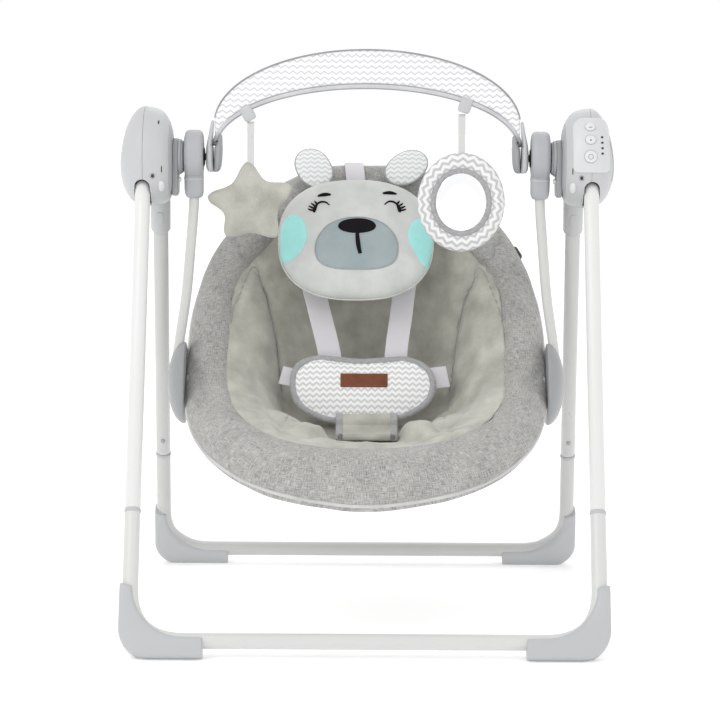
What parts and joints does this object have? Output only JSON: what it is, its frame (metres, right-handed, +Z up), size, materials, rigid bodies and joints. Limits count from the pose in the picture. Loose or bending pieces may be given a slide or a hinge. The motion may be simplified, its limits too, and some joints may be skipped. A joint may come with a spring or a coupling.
{
  "type": "baby swing",
  "caption": "Folding A-frame baby swing with twin hub housings, hanging padded recliner seat, harness, animal-head pillow and an arched toy bar with plush star and mirror.",
  "frame": {"origin": "on the floor, midway between the four feet", "axes": "+Z up, +Y towards the back of the seat, +X to the right as seen from the front"},
  "size_m": [0.618, 0.6236, 0.71],
  "materials": {
    "white_paint": "white powder coat, semi gloss",
    "shaded_paint": "white powder coat, semi gloss",
    "foot_plastic": "grey moulded plastic, matt",
    "light_plastic": "light grey moulded plastic, satin",
    "mid_plastic": "mid grey moulded plastic, satin",
    "button_plastic": "pale grey moulded plastic, smooth",
    "steel": "plated steel",
    "board": "green circuit board",
    "copper": "enamelled copper winding",
    "magnet": "dark plated metal",
    "cell": "plain battery sleeves",
    "heather_fabric": "heather grey linen weave",
    "velvet": "warm grey short pile",
    "plush": "pale grey brushed fabric",
    "chevron_fabric": "white cotton with thin grey zigzags",
    "webbing": "white woven webbing",
    "mirror": "soft acrylic mirror"
  },
  "bodies": {
    "frame": {"rear_lower_tube": "shaded_paint", "rear_upper_tube_left": "shaded_paint", "rear_upper_tube_right": "shaded_paint", "rear_foot_left": "foot_plastic", "rear_foot_right": "foot_plastic", "housing_inner_left": "light_plastic", "housing_inner_right": "light_plastic", "housing_outer_left": "light_plastic", "housing_outer_right": "light_plastic", "battery_door": "light_plastic", "control_panel": "light_plastic", "circuit_board": "board", "speaker": "magnet", "drive_coil": "copper", "battery_pack": "cell", "dc_inlet": "magnet", "axle_cover_left": "mid_plastic", "axle_cover_right": "mid_plastic", "bearing_left": "steel", "bearing_right": "steel"},
    "front_frame": {"front_lower_tube": "white_paint", "front_upper_tube_left": "white_paint", "front_upper_tube_right": "white_paint", "front_foot_left": "foot_plastic", "front_foot_right": "foot_plastic"},
    "swing": {"swing_shaft_left": "steel", "swing_shaft_right": "steel", "magnet_lever": "magnet", "swing_hub_left": "mid_plastic", "swing_hub_right": "mid_plastic", "swing_arm_left": "white_paint", "swing_arm_right": "white_paint", "hinge_cover_left": "mid_plastic", "hinge_cover_right": "mid_plastic"},
    "seat": {"seat_hub_left": "mid_plastic", "seat_hub_right": "mid_plastic", "back_hoop": "steel", "front_hoop": "steel", "seat_bolster": "heather_fabric", "seat_liner": "velvet", "head_pillow": "plush", "belly_pad": "chevron_fabric", "harness_webbing": "webbing", "crotch_strap": "velvet"},
    "toy_bar": {"toy_bar_clip_left": "mid_plastic", "toy_bar_clip_right": "mid_plastic", "toy_bar_rod": "mid_plastic", "arch_fabric": "chevron_fabric", "star_clip": "button_plastic", "mirror_clip": "button_plastic"},
    "star": {"star_toy": "velvet"},
    "mirror": {"mirror_frame": "chevron_fabric", "mirror_glass": "mirror"},
    "timer_button": {"timer_button": "button_plastic"},
    "music_button": {"music_button": "button_plastic"},
    "speed_button": {"speed_button": "button_plastic"},
    "fold_button_left": {"fold_button_left": "mid_plastic"},
    "fold_button_right": {"fold_button_right": "mid_plastic"},
    "snap_button_left": {"snap_button_left": "steel"},
    "snap_button_right": {"snap_button_right": "steel"}
  },
  "joints": [
    {"name": "frame_fold", "type": "hinge", "parent": "frame", "child": "front_frame", "pos_m": [0, -0.032, 0.54], "axis": [1, 0, 0], "range_deg": [0, 40]},
    {"name": "seat_swing", "type": "hinge", "parent": "frame", "child": "swing", "pos_m": [0, 0, 0.575], "axis": [1, 0, 0], "range_deg": [-20, 20]},
    {"name": "seat_recline", "type": "hinge", "parent": "swing", "child": "seat", "pos_m": [0, 0, 0.289], "axis": [1, 0, 0], "range_deg": [-14, 0]},
    {"name": "toy_bar_tilt", "type": "hinge", "parent": "swing", "child": "toy_bar", "pos_m": [0, 0, 0.575], "axis": [1, 0, 0], "range_deg": [-45, 10]},
    {"name": "star_swing", "type": "hinge", "parent": "toy_bar", "child": "star", "pos_m": [-0.146, -0.00665, 0.62365], "axis": [1, 0, 0], "range_deg": [-20, 20]},
    {"name": "mirror_swing", "type": "hinge", "parent": "toy_bar", "child": "mirror", "pos_m": [0.118, -0.00989, 0.63455], "axis": [1, 0, 0], "range_deg": [-20, 20]},
    {"name": "timer_button_press", "type": "slide", "parent": "frame", "child": "timer_button", "axis": [0, 0.7314, -0.682], "range_m": [0, 0.0012], "stiffness_N_per_m": 400},
    {"name": "music_button_press", "type": "slide", "parent": "frame", "child": "music_button", "axis": [0, 0.9026, -0.4305], "range_m": [0, 0.0012], "stiffness_N_per_m": 400},
    {"name": "speed_button_press", "type": "slide", "parent": "frame", "child": "speed_button", "axis": [0, 0.9954, -0.0958], "range_m": [0, 0.0012], "stiffness_N_per_m": 400},
    {"name": "fold_button_left_press", "type": "slide", "parent": "frame", "child": "fold_button_left", "axis": [0, 1, 0], "range_m": [0, 0.002], "stiffness_N_per_m": 500},
    {"name": "fold_button_right_press", "type": "slide", "parent": "frame", "child": "fold_button_right", "axis": [0, 1, 0], "range_m": [0, 0.002], "stiffness_N_per_m": 500},
    {"name": "snap_button_left_press", "type": "slide", "parent": "frame", "child": "snap_button_left", "axis": [0, 0.8979, 0.4403], "range_m": [0, 0.0015], "stiffness_N_per_m": 500},
    {"name": "snap_button_right_press", "type": "slide", "parent": "frame", "child": "snap_button_right", "axis": [0, 0.8979, 0.4403], "range_m": [0, 0.0015], "stiffness_N_per_m": 500}
  ]
}
